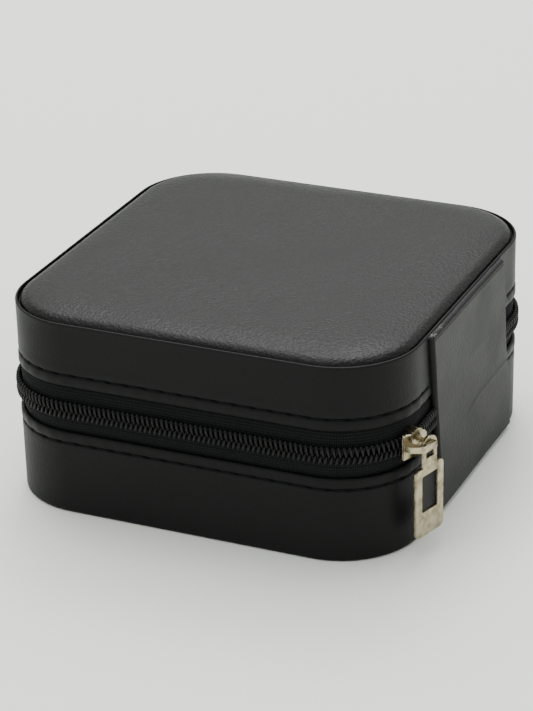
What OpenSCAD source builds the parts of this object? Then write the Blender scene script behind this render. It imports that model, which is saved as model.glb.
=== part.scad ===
// Zipped leather jewellery case: a round-cornered base tray and lid, joined by a
// leather spine at the back and closed round the other sides by a coil zip.
// Millimetres. +Z is up, +Y is the spine side. The origin is the middle of the underside.

/* [Case] */
// Width of the case across its two sides
case_w = 100; // [80:1:160]
// Depth of the case from its front to its back wall
case_d = 98.6; // [80:0.1:160]
// Radius of the upright corners, outside
corner_r = 19; // [16:0.5:26]
// Height of the base wall leather above the table
base_h = 20.9; // [18:0.1:40]
// Height of the zip band between the two hems
zip_gap = 11.6; // [10:0.1:16]
// Height of the lid wall leather
lid_h = 15.5; // [14:0.1:30]

/* [Leather, boards and linings] */
// Thickness of the wall leather
leather_t = 0.9; // [0.6:0.1:1.4]
// Thickness of the bent wall boards
board_t = 1.8; // [1.4:0.1:3]
// Thickness of the flat boards in the lid top and the base
panel_t = 1.5; // [1.2:0.1:3]
// Thickness of the inner wall card that stands up to the zip
card_t = 1.0; // [0.8:0.1:2]
// Thickness of the velvet lining
velvet_t = 0.5; // [0.3:0.1:1]
// How far a board stops short of its leather hem
hem_inset = 0.6; // [0.3:0.1:1.5]
// Gap between the two inner walls where the closed lid meets the base
meeting_gap = 0.6; // [0.4:0.1:1.2]
// How much lower the lid's inner wall is cut along the back, where the lid turns past the zip
hinge_relief = 3.6; // [3:0.1:6]

/* [Top cushion] */
// How far the middle of the top stands above the rim
crown_h = 1.8; // [0.8:0.1:4]
// Width of the band round the top where the cushion rolls down
crown_w = 9; // [5:0.5:10]
// Groove between the top leather and the rim
rim_groove = 0.4; // [0.3:0.1:1]
// Depth of that groove below the rim
groove_depth = 1.0; // [0.6:0.1:2]

/* [Zip] */
// Thickness of the woven tape
tape_t = 0.5; // [0.4:0.1:0.8]
// How far a tape is sewn in behind its hem
tape_tuck = 4.6; // [3:0.1:7]
// Height of one row of the coil
coil_h = 2.1; // [1.6:0.1:2.6]
// Thickness of the coil
coil_t = 1.6; // [1.2:0.1:2]
// How far the coil stands out from the wall face
coil_proud = 1.1; // [0.6:0.1:1.6]
// Gap between the two rows of the closed coil
coil_gap = 0.3; // [0.2:0.1:0.5]
// Length of stitch on the two hems
stitch_l = 2.9; // [2:0.1:4]
// Distance from one stitch to the next
stitch_pitch = 4.4; // [3.5:0.1:6]
// Thickness of the sewing thread
thread_t = 0.4; // [0.3:0.1:0.6]
// Distance of the stitching from the hem
stitch_in = 2.8; // [1.5:0.1:4]

/* [Slider and puller] */
// Position of the slider round the corner, from the side face towards the spine
slider_at = 74; // [66:1:75]
// Length of the slider along the zip
slider_l = 8.6; // [7.6:0.1:11]
// Height of the slider at its widest
slider_h = 7.0; // [7:0.1:10]
// Height of the slider's narrow heel
heel_h = 5.6; // [5.4:0.1:7]
// Thickness of the slider's two plates
plate_t = 0.8; // [0.7:0.1:1]
// Clearance between the slider and the zip inside it
slider_gap = 0.25; // [0.2:0.05:0.35]
// Height of the bridge above the slider's outer plate
bridge_h = 3.8; // [3.4:0.1:4.5]
// Thickness of the bridge's bar
bar_t = 1.2; // [1:0.1:1.5]
// Thickness of the puller
puller_t = 0.9; // [0.7:0.1:1]
// Length of the puller's flat tab
tab_l = 17; // [12:0.5:18]
// Width of the tab
tab_w = 10; // [8:0.1:12]
// Radius of the eye, outside
eye_r = 2.5; // [2.3:0.1:2.6]
// Width of the band of metal round the eye
eye_band = 1.0; // [0.8:0.1:1.1]
// Clearance between the bridge's leg and the eye
eye_gap = 0.1; // [0.08:0.01:0.2]

/* [Spine] */
// Thickness of the spine leather where it passes over the ends of the zip
spine_skin = 0.3; // [0.2:0.05:0.8]
// Width of the spine panel at its top
spine_w = 48.5; // [30:0.5:60]
// How far the panel's top is set to the side, as it is glued on askew
spine_skew = 2.2; // [0:0.1:4]
// How far the panel's bottom is set to the other side of its top
spine_lean = 7; // [0:0.5:9]
// Distance from the rim down to the top of the spine panel
spine_top_gap = 0.3; // [0.1:0.1:3]
// Distance from the underside up to the bottom of the spine panel
spine_foot_gap = 0.9; // [0.6:0.1:3]
// How far the zip's ends lie inside the spine panel's edge
zip_hidden = 7; // [5:0.5:10]

/* [Tray] */
// Number of ring rolls
roll_count = 6; // [4:1:8]
// Height of the ring rolls
roll_h = 17.5; // [12:0.5:20]
// Slit between two ring rolls, and clearance at their ends
roll_gap = 0.4; // [0.3:0.1:1]
// Place of the long divider, to the left of the middle
divider_x = 8; // [0:0.5:14]
// Height of the dividers above the tray floor
divider_h = 18.5; // [12:0.5:20]
// Thickness of a velvet-covered divider
divider_t = 1.6; // [1.2:0.1:3]

/* [Lid fittings] */
// Number of necklace straps
strap_count = 3; // [3:1:3]
// Distance between two necklace straps
strap_pitch = 24; // [18:0.5:26]
// Length of a strap from its sewn end to its snap
strap_l = 14; // [10:0.5:14]
// Width of a strap
strap_w = 7; // [6.6:0.1:9]
// Thickness of a strap
strap_t = 0.8; // [0.6:0.1:1.2]
// Height of the snap stud that holds a strap off the lid panel
stud_h = 1.4; // [1.2:0.1:2]
// Clearance round the stud in its socket
snap_gap = 0.2; // [0.15:0.05:0.3]
// Depth of the pocket in the lid
pocket_depth = 5; // [4.6:0.1:7]
// Distance of the pocket's mouth from the middle, towards the spine
pocket_y = 8; // [0:0.5:20]
// Thickness of the pocket's elastic hem
elastic_d = 1.6; // [1.2:0.1:2.4]

/* [Hidden] */
$fn = 64;
tiny = 0.01;
hair = 0.05;

STRAPS = [for (i = [1:strap_count]) i];
ROLLS = [for (i = [1:roll_count]) i];

// heights
zip_z = base_h + zip_gap / 2;
lid_z = base_h + zip_gap;
rim_z = lid_z + lid_h;
skin_z = rim_z - groove_depth;
lid_board_z = skin_z - panel_t;
ceiling_z = lid_board_z - velvet_t;
floor_z = leather_t + panel_t + velvet_t;
lid_lining_z = zip_z + meeting_gap / 2;
// insets from the outer face of the wall
board_in = leather_t;
card_in = board_in + board_t;
lining_in = card_in + card_t;
inside_in = lining_in + velvet_t;
top_in = leather_t + rim_groove;
// height of the cushion's upright edge
edge_h = 0.4;
// the corner's centre and the spine panel
corner_x = case_w / 2 - corner_r;
corner_y = case_d / 2 - corner_r;
back_y = case_d / 2;
recess_t = coil_proud + hair;
spine_t = coil_proud + spine_skin;
// the zip: u is the distance out from the wall face, and h the height over the zip's middle
coil_back = coil_proud - coil_t;
tape_back = coil_back - tape_t;
hem_h = zip_gap / 2;
tape_end_h = hem_h + tape_tuck;
coil_edge_h = coil_gap / 2 + coil_h;
coil_shoulder_r = 0.5;
bend_h = 0.6;
bend_step = 0.2;
stop_l = 1.6;
// the zip's hidden ends behind the spine
spine_half = spine_w / 2;
zip_end_x = spine_half - zip_hidden;
part_at = slider_at + 6;
part_gap = 0.3;
part_h = 1.35;
// the slider
channel_in = tape_back - slider_gap;
channel_out = coil_proud + slider_gap;
plate_out = channel_out + plate_t;
lip_h = coil_edge_h + slider_gap;
lip_u = coil_back + slider_gap;
heel_t = -slider_l / 2;
nose_t = slider_l / 2;
post_h = 1.1;
post_t = (corner_r + coil_proud) * sin(part_at - slider_at) + slider_gap;
foot_sunk = 0.6;
heel_slant = 1.8;
lobe_t = 0.3;
nose_cut = 0.9;
shoulder_h = 1.9;
eye_drop = 0.8;
leg_r = eye_r - eye_band - eye_drop - eye_gap;
leg_t = 1.9;
leg_h = 0.1;
bar_h = 1.5;
bar_u = plate_out + bridge_h - bar_t;
eye_h = leg_h - eye_drop;
puller_u = bar_u - puller_t - slider_gap;
neck_w = 5.0;
neck_l = 4.8;
slot_l = 2.7;
tab_r = 1.3;
window_w = 5.8;
window_l = 9.0;
window_top = 2.0;
// the straps
strap_x0 = -(strap_count - 1) * strap_pitch / 2;
strap_y = -corner_y - 2;
strap_clear = 0.1;
strap_top = ceiling_z - stud_h - strap_clear;
strap_axis_z = strap_top - strap_t / 2;
anchor_l = 3;
cap_r = 3;
cap_t = 0.7;
stud_r = 1.4;
stud_base_r = 2.4;
stud_base_t = 0.4;
socket_r = stud_r + snap_gap + 0.5;
// colours
leather_black = "#1b1c1d";
board_grey = "#8a8378";
velvet_grey = "#4a4a4e";
foam_white = "#e9e6dc";
tape_black = "#121213";
nickel = "#c8c1ac";

// ---- outlines and sweeps ----

// A rectangle with round corners.
module rounded_plan(w, d, r) {
    square([w - 2 * r, d], center = true);
    square([w, d - 2 * r], center = true);
    for (x = [-1, 1], y = [-1, 1])
        translate([x * (w / 2 - r), y * (d / 2 - r)]) circle(r);
}

// The case's outline, set in from its outer face.
module case_plan(inset) {
    rounded_plan(case_w - 2 * inset, case_d - 2 * inset, corner_r - inset);
}

// An upright wall that follows the outline between two insets.
module wall_ring(outer_in, inner_in, z0, z1) {
    translate([0, 0, z0]) linear_extrude(z1 - z0) difference() {
        case_plan(outer_in);
        case_plan(inner_in);
    }
}

// A flat plate with the case's outline.
module case_plate(inset, z0, z1) {
    translate([0, 0, z0]) linear_extrude(z1 - z0) case_plan(inset);
}

// A profile, drawn as distance from the corner's centre and height, carried straight.
module straight(l) {
    rotate([90, 0, 0]) translate([0, 0, -l / 2]) linear_extrude(l) children();
}

// The profile carried round one upright corner.
module corner(sx, sy, from = 0, to = 90) {
    start = sx > 0 ? (sy > 0 ? 0 : 270) : (sy > 0 ? 90 : 180);
    translate([sx * corner_x, sy * corner_y, 0])
        rotate([0, 0, start + from]) rotate_extrude(angle = to - from) children();
}

// The profile carried along the front and both sides, with the two front corners.
module front_run() {
    for (side = [0, 180]) rotate([0, 0, side])
        translate([corner_x, 0, 0]) straight(2 * corner_y) children();
    rotate([0, 0, -90]) translate([corner_y, 0, 0]) straight(2 * corner_x) children();
    corner(1, -1) children();
    corner(-1, -1) children();
}

// The profile carried along the back wall from one corner to behind the spine.
module back_stub(side) {
    stub = corner_x - zip_end_x;
    translate([side * (corner_x + zip_end_x) / 2, corner_y, 0])
        rotate([0, 0, 90]) straight(stub) children();
}

// The profile carried all the way round.
module full_run() {
    front_run() children();
    corner(1, 1) children();
    corner(-1, 1) children();
    rotate([0, 0, 90]) translate([corner_y, 0, 0]) straight(2 * corner_x) children();
}

// Draws at distance u out from the wall face and height h over the zip's middle.
module on_zip() {
    translate([corner_r, zip_z]) children();
}

// ---- base ----

module base_bottom_cover() {
    color(leather_black) case_plate(leather_t + hair, 0, leather_t);
}

module base_wall_cover() {
    color(leather_black) wall_ring(0, leather_t, 0, base_h);
}

module base_wall_board() {
    rebate_z = base_h - tape_tuck - hair;
    color(board_grey) difference() {
        wall_ring(board_in, card_in, leather_t, base_h - hem_inset);
        wall_ring(board_in - tiny, board_in + tape_t + hair, rebate_z, base_h);
    }
}

module base_bottom_board() {
    color(board_grey) case_plate(card_in, leather_t, leather_t + panel_t);
}

module base_inner_wall() {
    top = zip_z - meeting_gap / 2 - velvet_t;
    color(board_grey) wall_ring(card_in, lining_in, floor_z - velvet_t, top);
}

module base_wall_lining() {
    top = zip_z - meeting_gap / 2;
    color(velvet_grey) {
        wall_ring(lining_in, inside_in, floor_z, top);
        wall_ring(card_in, lining_in + tiny, top - velvet_t, top);
    }
}

module base_floor_lining() {
    color(velvet_grey) case_plate(lining_in, floor_z - velvet_t, floor_z);
}

// ---- tray ----

inside_w = case_w - 2 * inside_in;
inside_d = case_d - 2 * inside_in;
roll_pitch = inside_d / roll_count;
roll_end_x = -divider_x - divider_t / 2;
cell_d = (inside_d - 2 * divider_t) / 3;

// Cuts what it holds to the shape of the tray.
module inside_tray(clear) {
    intersection() {
        children();
        case_plate(inside_in + clear, floor_z, zip_z);
    }
}

module ring_roll(i) {
    half = roll_pitch / 2 - roll_gap / 2;
    y = -inside_d / 2 + (i - 0.5) * roll_pitch;
    color(velvet_grey) inside_tray(roll_gap)
        translate([roll_end_x - roll_gap, y, floor_z]) rotate([90, 0, -90])
            linear_extrude(inside_w) {
                translate([0, roll_h - half]) circle(half);
                translate([-half, 0]) square([2 * half, roll_h - half]);
            }
}

module divider(x0, y0, x1, y1) {
    translate([x0, y0, floor_z]) cube([x1 - x0, y1 - y0, divider_h]);
}

module long_divider() {
    half = divider_t / 2;
    reach = inside_d / 2;
    color(velvet_grey) divider(-divider_x - half, -reach, -divider_x + half, reach);
}

module cross_divider(side) {
    y = side * (cell_d + divider_t) / 2;
    half = divider_t / 2;
    color(velvet_grey) divider(-divider_x + half, y - half, inside_w / 2, y + half);
}

module front_divider() { cross_divider(-1); }
module back_divider() { cross_divider(1); }

// ---- lid ----

module lid_wall_cover() {
    color(leather_black) wall_ring(0, leather_t, lid_z, rim_z);
}

module lid_wall_board() {
    color(board_grey) difference() {
        wall_ring(board_in, card_in, lid_z + hem_inset, lid_board_z);
        wall_ring(board_in - tiny, board_in + tape_t + hair, lid_z, lid_z + tape_tuck + hair);
    }
}

module lid_top_board() {
    color(board_grey) case_plate(board_in, lid_board_z, skin_z);
}

// One side of the crowned cushion: a quarter of an ellipse, then flat.
function crown(edge, low, high) = [for (a = [0:7.5:90])
    [edge - crown_w * (1 - cos(a)), low + (high - low) * sin(a)]];

// The cushion's rolled border, with its middle filled by a plate. It starts below z0 where
// it cuts something open.
module cushion(inset, z0, z1, below = 0) {
    edge = corner_r - inset;
    border = concat([[edge - crown_w, z0 - below], [edge, z0 - below]], crown(edge, z0 + edge_h, z1));
    full_run() polygon(border);
    case_plate(inset + crown_w - tiny, z0 - below, z1);
}

module lid_top_foam() {
    color(foam_white) cushion(top_in + leather_t, skin_z, rim_z + crown_h - leather_t);
}

module lid_top_cover() {
    color(leather_black) difference() {
        cushion(top_in, skin_z, rim_z + crown_h);
        cushion(top_in + leather_t, skin_z, rim_z + crown_h - leather_t, tiny);
    }
}

// Everything in the lid behind the slider, up to a height over the lining's lower edge.
module back_region(z1) {
    front = corner_y + corner_r * 2 / 3;
    translate([-case_w / 2, front, zip_z]) cube([case_w, case_d, meeting_gap / 2 + z1]);
}

module lid_inner_wall() {
    color(board_grey) difference() {
        wall_ring(card_in, lining_in, lid_lining_z + velvet_t, lid_board_z);
        back_region(hinge_relief + velvet_t);
    }
}

// The lining turns in under the card, lower at the front and sides than along the back.
module lid_wall_lining() {
    color(velvet_grey) {
        difference() {
            union() {
                wall_ring(lining_in, inside_in, lid_lining_z, ceiling_z);
                wall_ring(card_in, lining_in + tiny, lid_lining_z, lid_lining_z + velvet_t);
            }
            back_region(hinge_relief);
        }
        intersection() {
            wall_ring(card_in, lining_in + tiny, lid_lining_z + hinge_relief, lid_board_z);
            back_region(hinge_relief + velvet_t);
        }
    }
}

module lid_panel_lining() {
    color(velvet_grey) case_plate(lining_in, ceiling_z, lid_board_z);
}

// ---- stitching ----

// One stitch lying on the wall face, at the profile's distance r from the corner's centre.
module stitch(r, z) {
    translate([r, 0, z]) cube([thread_t, stitch_l, thread_t], center = true);
}

// Even stitches along a straight of length l, centred.
module stitch_line(l, z) {
    n = floor(l / stitch_pitch);
    for (i = [0:n - 1]) translate([0, (i - (n - 1) / 2) * stitch_pitch, 0])
        stitch(corner_r + thread_t / 2, z);
}

// Even stitches round one corner, from one angle to another.
module stitch_arc(sx, sy, from, to, z) {
    start = sx > 0 ? (sy > 0 ? 0 : 270) : (sy > 0 ? 90 : 180);
    n = floor((to - from) / 180 * PI * corner_r / stitch_pitch);
    translate([sx * corner_x, sy * corner_y, 0])
        for (i = [0:n - 1]) rotate([0, 0, start + from + (i + 0.5) * (to - from) / n])
            stitch(corner_r + thread_t / 2 + stitch_l * stitch_l / 8 / corner_r, z);
}

module stitching(z) {
    for (side = [0, 180]) rotate([0, 0, side])
        translate([corner_x, 0, 0]) stitch_line(2 * corner_y, z);
    rotate([0, 0, -90]) translate([corner_y, 0, 0]) stitch_line(2 * corner_x, z);
    stitch_arc(1, -1, 0, 90, z);
    stitch_arc(-1, -1, 0, 90, z);
    stitch_arc(1, 1, 0, 90, z);
    stitch_arc(-1, 1, 0, 90, z);
}

module base_stitching() { color("#14161c") stitching(base_h - stitch_in); }
module lid_stitching() { color("#14161c") stitching(lid_z + stitch_in); }

// ---- zip ----

// Half of the tape's cross-section. way is 1 for the lid's half and -1 for the base's.
module tape_profile(way, lift = 0) {
    hidden = -leather_t;
    low = coil_gap / 2 + lift;
    bend = coil_edge_h + bend_h + lift;
    on_zip() scale([1, way]) polygon([
        [hidden - tape_t, tape_end_h], [hidden, tape_end_h], [hidden, hem_h - bend_step],
        [coil_back, bend], [coil_back, low], [tape_back, low],
        [tape_back, bend - bend_step], [hidden - tape_t, hem_h - 2 * bend_step]
    ]);
}

// Half of the coil's cross-section, as one plain band with round shoulders.
module coil_profile(way, lift = 0) {
    r = coil_shoulder_r;
    low = coil_gap / 2 + lift;
    on_zip() scale([1, way]) {
        translate([coil_back, low]) square([coil_t, coil_h - r]);
        translate([coil_back, low]) square([coil_t - r, coil_h]);
        translate([coil_proud - r, low + coil_h - r]) circle(r);
    }
}

// The back left corner stays closed. Round the back right one the halves are closed up to
// the slider's nose and part beyond it, where a hair's gap keeps the two stretches apart.
// The first child is the closed profile and the second the parted one.
module back_run() {
    corner(-1, 1) children(0);
    back_stub(-1) children(0);
    corner(1, 1, 0, part_at - part_gap) children(0);
    parted_corner() children(1);
    back_stub(1) children(1);
}

// The last stretch of the back right corner, carried from the spine back to the slider.
module parted_corner() {
    translate([corner_x, corner_y, 0]) mirror([1, -1, 0])
        rotate_extrude(angle = 90 - part_at - part_gap) children();
}

module tape_ends(way) {
    back_run() {
        tape_profile(way);
        tape_profile(way, part_h);
    }
}

module coil_ends(way) {
    back_run() {
        coil_profile(way);
        coil_profile(way, part_h);
    }
}

module lower_tape() { color(tape_black) front_run() tape_profile(-1); }
module upper_tape() { color(tape_black) front_run() tape_profile(1); }
module lower_tape_ends() { color(tape_black) tape_ends(-1); }
module upper_tape_ends() { color(tape_black) tape_ends(1); }
module lower_coil() { color(tape_black) front_run() coil_profile(-1); }
module upper_coil() { color(tape_black) front_run() coil_profile(1); }
module lower_coil_ends() { color(tape_black) coil_ends(-1); }
module upper_coil_ends() { color(tape_black) coil_ends(1); }

// Metal clips over the ends of the lower coil, hidden behind the spine.
module end_stops() {
    color(nickel) for (side = [-1, 1]) {
        lift = side > 0 ? part_h : 0;
        translate([
            side * (zip_end_x - stop_l / 2),
            back_y + coil_proud - coil_t / 2,
            zip_z - coil_gap / 2 - lift - coil_h / 2
        ]) cube([stop_l, coil_t * 3 / 4, coil_h], center = true);
    }
}

// ---- slider and puller ----

// Stands on the corner's centre line, with x out through the slider and y towards the spine.
module at_slider() {
    translate([corner_x, corner_y, zip_z]) rotate([0, 0, slider_at]) children();
}

// A band round the corner between two distances out from the wall face.
module band(u0, u1, half_h) {
    difference() {
        cylinder(r = corner_r + u1, h = 2 * half_h, center = true, $fn = 128);
        cylinder(r = corner_r + u0, h = 2 * half_h + 1, center = true, $fn = 128);
    }
}

// Carries an outline of distance t along the zip and height h out through the slider.
module out_from(u0, u1) {
    translate([corner_r + u0, 0, 0]) rotate([90, 0, 90]) linear_extrude(u1 - u0) children();
}

// The outer plate's outline: a square heel, two lobes and a blunt nose.
module shield() {
    lobe_r = slider_h / 3;
    lobe_h = slider_h / 2 - lobe_r;
    translate([heel_t, -heel_h / 2]) square([slider_l / 2, heel_h]);
    for (side = [-1, 1]) translate([lobe_t, side * lobe_h]) circle(lobe_r);
    polygon([[lobe_t, slider_h / 2], [nose_t - nose_cut, shoulder_h], [nose_t, nose_cut],
        [nose_t, -nose_cut], [nose_t - nose_cut, -shoulder_h], [lobe_t, -slider_h / 2]]);
}

module slider_body() {
    deep = channel_in - plate_t;
    color(nickel) at_slider() {
        difference() {
            intersection() {
                band(lip_u, plate_out, slider_h / 2);
                out_from(lip_u - 2, plate_out + 1) shield();
            }
            band(lip_u - 1, channel_out, lip_h);
            rotate([0, 0, part_at - slider_at - 1]) flared_mouth();
            heel_slope();
        }
        intersection() {
            band(deep, channel_in, heel_h / 2);
            out_from(deep - 2, channel_in + 1) square([slider_l, heel_h], center = true);
        }
        intersection() {
            band(channel_in - plate_t / 2, channel_out + plate_t / 2, post_h);
            out_from(deep, plate_out) translate([post_t, -post_h]) square([nose_t - post_t, 2 * post_h]);
        }
    }
}

// What is cut from the heel's two lips, which run back from the outer plate to the tape.
module heel_slope() {
    translate([corner_r, 0, -slider_h / 2]) linear_extrude(slider_h) polygon([
        [channel_out, heel_t - 1], [channel_out, heel_t], [lip_u, heel_t + heel_slant],
        [lip_u - 1, heel_t + heel_slant], [lip_u - 1, heel_t - 1]
    ]);
}

// The room that the two parting rows of the coil need in the nose.
module flared_mouth() {
    translate([0, 0, -slider_h / 2 - tiny]) rotate_extrude(angle = 30)
        translate([corner_r + lip_u - 1, 0]) square([channel_out - lip_u + 1, slider_h + 2 * tiny]);
}

module slider_bridge() {
    foot = plate_out - foot_sunk;
    top = plate_out + bridge_h;
    clear_t = leg_t - eye_r - eye_drop - eye_gap;
    rise_t = heel_t + foot_sunk / 2;
    color(nickel) at_slider() difference() {
        translate([corner_r, 0, leg_h]) {
            translate([0, 0, -bar_h / 2]) linear_extrude(bar_h) polygon([
                [foot, rise_t], [plate_out + bar_t, rise_t], [top, clear_t - bar_t / 2],
                [top, leg_t + leg_r], [bar_u, leg_t + leg_r], [bar_u, clear_t],
                [foot, rise_t + 1.4 * bar_t]
            ]);
            translate([foot, leg_t, 0]) rotate([0, 90, 0]) cylinder(r = leg_r, h = bar_u - foot + tiny);
        }
        cylinder(r = corner_r + plate_out, h = slider_h, center = true, $fn = 128);
    }
}

// A rectangle with round corners, hanging from its top edge.
module hanging_plan(w, l, r) {
    translate([0, -l / 2]) rounded_plan(w, l, r);
}

module puller_plan() {
    eye_in = eye_r - eye_band;
    difference() {
        union() {
            circle(eye_r);
            translate([-neck_w / 2, -neck_l - tab_r]) square([neck_w, neck_l + tab_r]);
            translate([0, -neck_l]) hanging_plan(tab_w, tab_l, tab_r);
        }
        circle(eye_in);
        translate([-eye_in, -slot_l]) square([2 * eye_in, slot_l]);
        translate([0, -neck_l - window_top]) hanging_plan(window_w, window_l, 0.5);
    }
}

module puller() {
    color(nickel) at_slider() out_from(puller_u, puller_u + puller_t)
        translate([leg_t, eye_h]) puller_plan();
}

// ---- spine ----

// The panel, with a recess behind each side edge for the end of the zip.
module spine_cover() {
    bottom = spine_skew - spine_lean;
    color(leather_black) difference() {
        translate([0, back_y + spine_t, 0]) rotate([90, 0, 0]) linear_extrude(spine_t) polygon([
            [spine_skew - spine_half, rim_z - spine_top_gap],
            [spine_skew + spine_half, rim_z - spine_top_gap],
            [bottom + spine_half, spine_foot_gap], [bottom - spine_half, spine_foot_gap]
        ]);
        for (side = [-1, 1]) zip_recess(side);
    }
}

module zip_recess(side) {
    half_h = coil_edge_h + part_h + slider_gap;
    start = zip_end_x - stop_l - slider_gap;
    translate([side * (start + spine_w / 2), back_y, zip_z])
        cube([spine_w, 2 * recess_t, 2 * half_h], center = true);
}

module spine_lining() {
    half = zip_end_x - stop_l - hair;
    low = base_h - tape_tuck;
    color(velvet_grey) translate([-half, back_y - leather_t - tape_t, low])
        cube([2 * half, tape_t, zip_gap + 2 * tape_tuck]);
}

// ---- lid fittings ----

module lid_pocket() {
    z = ceiling_z - pocket_depth;
    color(velvet_grey) difference() {
        intersection() {
            case_plate(inside_in, z - velvet_t, z);
            translate([-case_w / 2, pocket_y, z - 1]) cube([case_w, case_d, 2]);
        }
        elastic(tiny);
    }
}

module elastic(more) {
    translate([-case_w / 2 + inside_in, pocket_y, ceiling_z - pocket_depth - velvet_t / 2])
        rotate([0, 90, 0]) cylinder(d = elastic_d + 2 * more, h = case_w - 2 * inside_in, $fn = 32);
}

module pocket_elastic() { color(velvet_grey) elastic(0); }

module strap_anchors() {
    edge = strap_y - strap_t / 2 - strap_clear;
    color(leather_black) for (i = STRAPS)
        translate([strap_x0 + (i - 1) * strap_pitch - strap_w / 2, edge - anchor_l, strap_top - strap_t])
            cube([strap_w, anchor_l, ceiling_z - strap_top + strap_t]);
}

module snap_studs() {
    post_l = stud_h + strap_clear + 0.75 * strap_t;
    color(nickel) for (i = STRAPS)
        translate([strap_x0 + (i - 1) * strap_pitch, strap_y + strap_l, 0]) {
            translate([0, 0, ceiling_z - stud_base_t]) cylinder(r = stud_base_r, h = stud_base_t);
            translate([0, 0, ceiling_z - post_l]) cylinder(r = stud_r, h = post_l);
        }
}

module necklace_strap(i) {
    color(leather_black) translate([strap_x0 + (i - 1) * strap_pitch, strap_y, strap_axis_z])
        difference() {
            union() {
                translate([-strap_w / 2, 0, 0]) rotate([0, 90, 0]) cylinder(d = strap_t, h = strap_w);
                translate([-strap_w / 2, 0, -strap_t / 2]) cube([strap_w, strap_l, strap_t]);
                translate([0, strap_l, -strap_t / 2]) cylinder(d = strap_w, h = strap_t);
            }
            translate([0, strap_l, -strap_t]) cylinder(r = socket_r, h = 2 * strap_t);
        }
}

module snap_cap(i) {
    inner = stud_r + snap_gap;
    color(nickel) translate([strap_x0 + (i - 1) * strap_pitch, strap_y + strap_l, strap_top - strap_t])
        difference() {
            union() {
                translate([0, 0, -cap_t]) cylinder(r = cap_r, h = cap_t);
                cylinder(r = socket_r, h = strap_t);
            }
            cylinder(r = inner, h = strap_t + tiny);
        }
}

base_bottom_cover();
base_wall_cover();
base_wall_board();
base_bottom_board();
base_inner_wall();
base_wall_lining();
base_floor_lining();
base_stitching();
lower_tape();
lower_coil();
lower_tape_ends();
lower_coil_ends();
end_stops();
long_divider();
front_divider();
back_divider();
for (i = ROLLS) ring_roll(i);
lid_wall_cover();
lid_wall_board();
lid_top_board();
lid_top_foam();
lid_top_cover();
lid_inner_wall();
lid_wall_lining();
lid_panel_lining();
lid_stitching();
upper_tape();
upper_coil();
upper_tape_ends();
upper_coil_ends();
lid_pocket();
pocket_elastic();
strap_anchors();
snap_studs();
for (i = STRAPS) necklace_strap(i);
for (i = STRAPS) snap_cap(i);
spine_cover();
spine_lining();
slider_body();
slider_bridge();
puller();
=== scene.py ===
"""A zipped leather jewellery case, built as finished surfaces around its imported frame.

Lengths inside the functions are millimetres; mesh coordinates are metres.
+Z is up, +Y is the spine side, and the case stands on the plane z = 0.
"""
import math

import bmesh
import bpy
import numpy as np
from mathutils import Matrix, Vector


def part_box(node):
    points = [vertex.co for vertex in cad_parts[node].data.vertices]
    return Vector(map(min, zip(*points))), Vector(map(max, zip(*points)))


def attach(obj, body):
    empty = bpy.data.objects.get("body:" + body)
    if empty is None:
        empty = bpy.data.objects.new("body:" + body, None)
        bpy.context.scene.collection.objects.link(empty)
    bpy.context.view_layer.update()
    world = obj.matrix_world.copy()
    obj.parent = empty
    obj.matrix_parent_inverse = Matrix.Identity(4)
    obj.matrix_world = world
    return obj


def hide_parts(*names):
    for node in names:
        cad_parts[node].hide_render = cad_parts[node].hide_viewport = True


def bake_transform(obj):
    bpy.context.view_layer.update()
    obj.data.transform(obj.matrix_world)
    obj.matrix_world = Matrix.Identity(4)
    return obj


bl_info = {
    "name": "Leather jewellery case",
    "version": (1, 0, 0),
    "blender": (4, 5, 0),
    "location": "3D View > Sidebar > Case",
    "description": "Builds the visible pieces of a zipped leather jewellery case",
    "category": "Add Mesh",
}

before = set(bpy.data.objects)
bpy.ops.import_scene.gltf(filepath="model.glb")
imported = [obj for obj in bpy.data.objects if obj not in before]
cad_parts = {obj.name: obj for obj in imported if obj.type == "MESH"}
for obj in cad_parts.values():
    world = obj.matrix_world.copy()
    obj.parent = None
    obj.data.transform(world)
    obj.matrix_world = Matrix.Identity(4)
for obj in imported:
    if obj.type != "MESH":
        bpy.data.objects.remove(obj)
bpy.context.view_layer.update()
MM = 0.001


# ---- sizes that come from the frame ----


def box_mm(node):
    """The lowest and highest corner of a frame node, in millimetres."""
    low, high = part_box(node)
    return np.array(low) / MM, np.array(high) / MM


LID_LOW, LID_HIGH = box_mm("lid_wall_cover")
BASE_LOW, BASE_HIGH = box_mm("base_wall_cover")
HALF_W, HALF_D = LID_HIGH[0], LID_HIGH[1]
RIM_Z, LID_Z, BASE_Z = LID_HIGH[2], LID_LOW[2], BASE_HIGH[2]
ZIP_Z = (LID_Z + BASE_Z) / 2
CROWN_Z = box_mm("lid_top_cover")[1][2]
SKIN_Z = box_mm("lid_top_cover")[0][2]
SPINE_LOW, SPINE_HIGH = box_mm("spine_cover")
COIL_OUT = box_mm("upper_coil")[1][0] - HALF_W


def hex_colour(text):
    """An sRGB hex colour as linear red, green and blue."""
    parts = [int(text[i : i + 2], 16) / 255 for i in (1, 3, 5)]
    return tuple(c / 12.92 if c <= 0.04045 else ((c + 0.055) / 1.055) ** 2.4 for c in parts)


def length(name, about, default, low, high):
    """A length property, given in millimetres and kept in metres."""
    return bpy.props.FloatProperty(
        name=name, description=about, default=default * MM, min=low * MM, max=high * MM,
        unit="LENGTH", precision=4,
    )


def colour(name, about, default):
    """A colour property, given as sRGB hex."""
    return bpy.props.FloatVectorProperty(
        name=name, description=about, default=hex_colour(default), size=3, min=0, max=1,
        subtype="COLOR",
    )


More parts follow.
